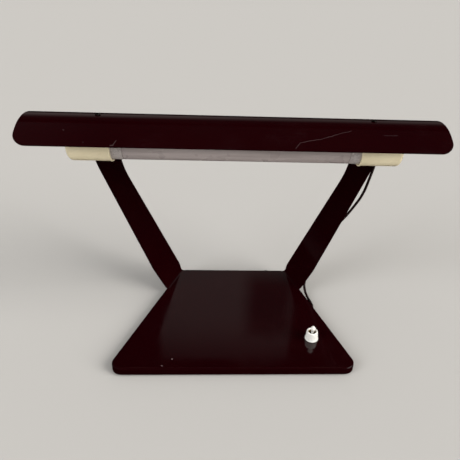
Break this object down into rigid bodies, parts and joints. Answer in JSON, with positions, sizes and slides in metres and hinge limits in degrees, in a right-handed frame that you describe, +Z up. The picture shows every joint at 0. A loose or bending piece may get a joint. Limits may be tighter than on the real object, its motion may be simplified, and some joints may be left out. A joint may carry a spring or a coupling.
{
  "type": "tube desk lamp",
  "caption": "Desk lamp for a tubular strip lamp: long curved hood on two folded sheet arms rising from a flat tapered base with a toggle switch.",
  "frame": {"origin": "centre of the lamp's bounding box on the table it stands on, at the underside of the rubber feet", "axes": "+X to the right along the hood and tube, +Y from front to back, +Z up"},
  "size_m": [0.436, 0.193, 0.2608],
  "materials": {
    "enamel": "gloss",
    "opal_glass": "satin",
    "tungsten": "matte",
    "cap_metal": "satin",
    "cream_plastic": "satin",
    "white_plastic": "gloss",
    "black_plastic": "satin",
    "brass": "satin",
    "steel": "satin",
    "rubber": "matte",
    "lead_skin": "satin"
  },
  "bodies": {
    "lamp_frame": {"stand_sheet": "enamel", "hood": "enamel", "lamp_glass": "opal_glass", "filament": "tungsten", "lamp_cap_right": "cap_metal", "lamp_cap_left": "cap_metal", "holder_right": "cream_plastic", "holder_left": "cream_plastic", "contact_spring_right": "steel", "contact_spring_left": "steel", "holder_screw_right": "steel", "holder_screw_left": "steel", "screw_insert_right": "brass", "screw_insert_left": "brass", "switch_shell": "black_plastic", "switch_base": "black_plastic", "switch_bushing": "brass", "switch_nut": "white_plastic", "lever_pin": "steel", "switch_fulcrum": "brass", "switch_terminal_front": "brass", "switch_terminal_rear": "brass", "terminal_screw_front": "steel", "terminal_screw_rear": "steel", "foot_front_left": "rubber", "foot_front_right": "rubber", "foot_rear_left": "rubber", "foot_rear_right": "rubber", "mains_gland": "rubber", "terminal_block": "cream_plastic", "block_sleeve_1": "brass", "block_sleeve_2": "brass", "block_screw_1": "steel", "block_screw_2": "steel", "block_screw_3": "steel", "block_screw_4": "steel", "lamp_lead": "lead_skin", "link_wire": "lead_skin", "supply_wire": "lead_skin"},
    "lever": {"toggle_lever": "white_plastic"},
    "rocker": {"switch_rocker": "brass"},
    "disc_left": {"contact_disc_left": "brass"},
    "disc_right": {"contact_disc_right": "brass"}
  },
  "joints": [
    {"name": "lever_throw", "type": "hinge", "parent": "lamp_frame", "child": "lever", "pos_m": [0.0928, -0.0488, 0.0155], "axis": [1, 0, 0], "range_deg": [-20, 0]},
    {"name": "rocker_tilt", "type": "hinge", "parent": "lamp_frame", "child": "rocker", "pos_m": [0.0928, -0.0488, 0.0051], "axis": [1, 0, 0], "range_deg": [0, 24]},
    {"name": "disc_left_push", "type": "slide", "parent": "lamp_frame", "child": "disc_left", "axis": [-1, 0, 0], "range_m": [0, 0.0186], "stiffness_N_per_m": 250, "springref_m": -0.004, "deforming": ["contact_spring_left"]},
    {"name": "disc_right_push", "type": "slide", "parent": "lamp_frame", "child": "disc_right", "axis": [1, 0, 0], "range_m": [0, 0.0186], "stiffness_N_per_m": 250, "springref_m": -0.004, "deforming": ["contact_spring_right"]}
  ],
  "couplings": [
    {"joint": "rocker_tilt", "follows": "lever_throw", "ratio": -1.2}
  ]
}
